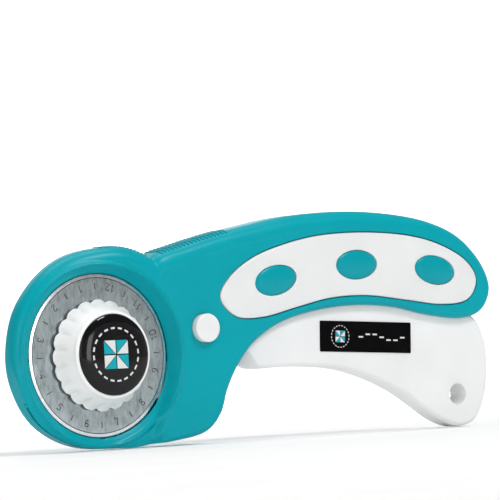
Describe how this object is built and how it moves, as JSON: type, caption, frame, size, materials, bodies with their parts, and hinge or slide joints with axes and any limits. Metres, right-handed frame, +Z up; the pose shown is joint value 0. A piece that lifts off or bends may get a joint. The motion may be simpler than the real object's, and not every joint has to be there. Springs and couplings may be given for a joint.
{
  "type": "rotary cutter",
  "caption": "Handheld rotary cutter with a round blade in a guard ring, a squeeze trigger under a curved handle and a push-through lock",
  "frame": {"origin": "middle of the base of the whole tool's box, with the tool upright, as it is held to cut", "axes": "+X from the blade to the end of the handle, +Y from the knob to the back of the tool, +Z up"},
  "size_m": [0.1642, 0.0188, 0.0641],
  "materials": {
    "case_teal": "satin moulded plastic",
    "pad_teal": "satin moulded plastic",
    "white_plastic": "smooth moulded plastic",
    "knob_white": "smooth moulded plastic",
    "black_label": "printed label",
    "badge_black": "clear-coated dome",
    "blade_steel": "brushed, ground edge",
    "steel": "zinc-plated",
    "spring_steel": "bright wire",
    "brass": "turned"
  },
  "bodies": {
    "case": {"front_shell": "case_teal", "back_shell": "case_teal", "front_grip_inlay": "white_plastic", "back_grip_inlay": "white_plastic", "front_grip_pads": "pad_teal", "back_grip_pads": "pad_teal", "pivot_pin": "steel", "return_spring": "spring_steel", "lock_detent_spring": "spring_steel", "handle_screws": "steel", "neck_screws": "steel"},
    "trigger": {"trigger_lever": "white_plastic", "lever_decal": "black_label", "spindle_bolt": "steel", "blade_washer": "steel", "wave_washer": "spring_steel"},
    "blade": {"blade": "blade_steel"},
    "knob": {"knob": "knob_white", "knob_nut": "brass", "knob_badge": "badge_black"},
    "lock_button": {"lock_button": "white_plastic"}
  },
  "joints": [
    {"name": "trigger_squeeze", "type": "hinge", "parent": "case", "child": "trigger", "pos_m": [-0.02175, 0.00225, 0.01398], "axis": [0, -1, 0], "range_deg": [0, 11.5], "stiffness_Nm_per_rad": 3, "springref_deg": -8.59, "deforming": ["return_spring"]},
    {"name": "blade_spin", "type": "hinge", "parent": "trigger", "child": "blade", "pos_m": [-0.05475, -0.00025, 0.02598], "axis": [0, -1, 0], "continuous": true},
    {"name": "knob_turn", "type": "hinge", "parent": "trigger", "child": "knob", "pos_m": [-0.05475, -0.00425, 0.02598], "axis": [0, -1, 0], "continuous": true},
    {"name": "lock_slide", "type": "slide", "parent": "case", "child": "lock_button", "axis": [0, 1, 0], "range_m": [0, 0.0019]}
  ]
}
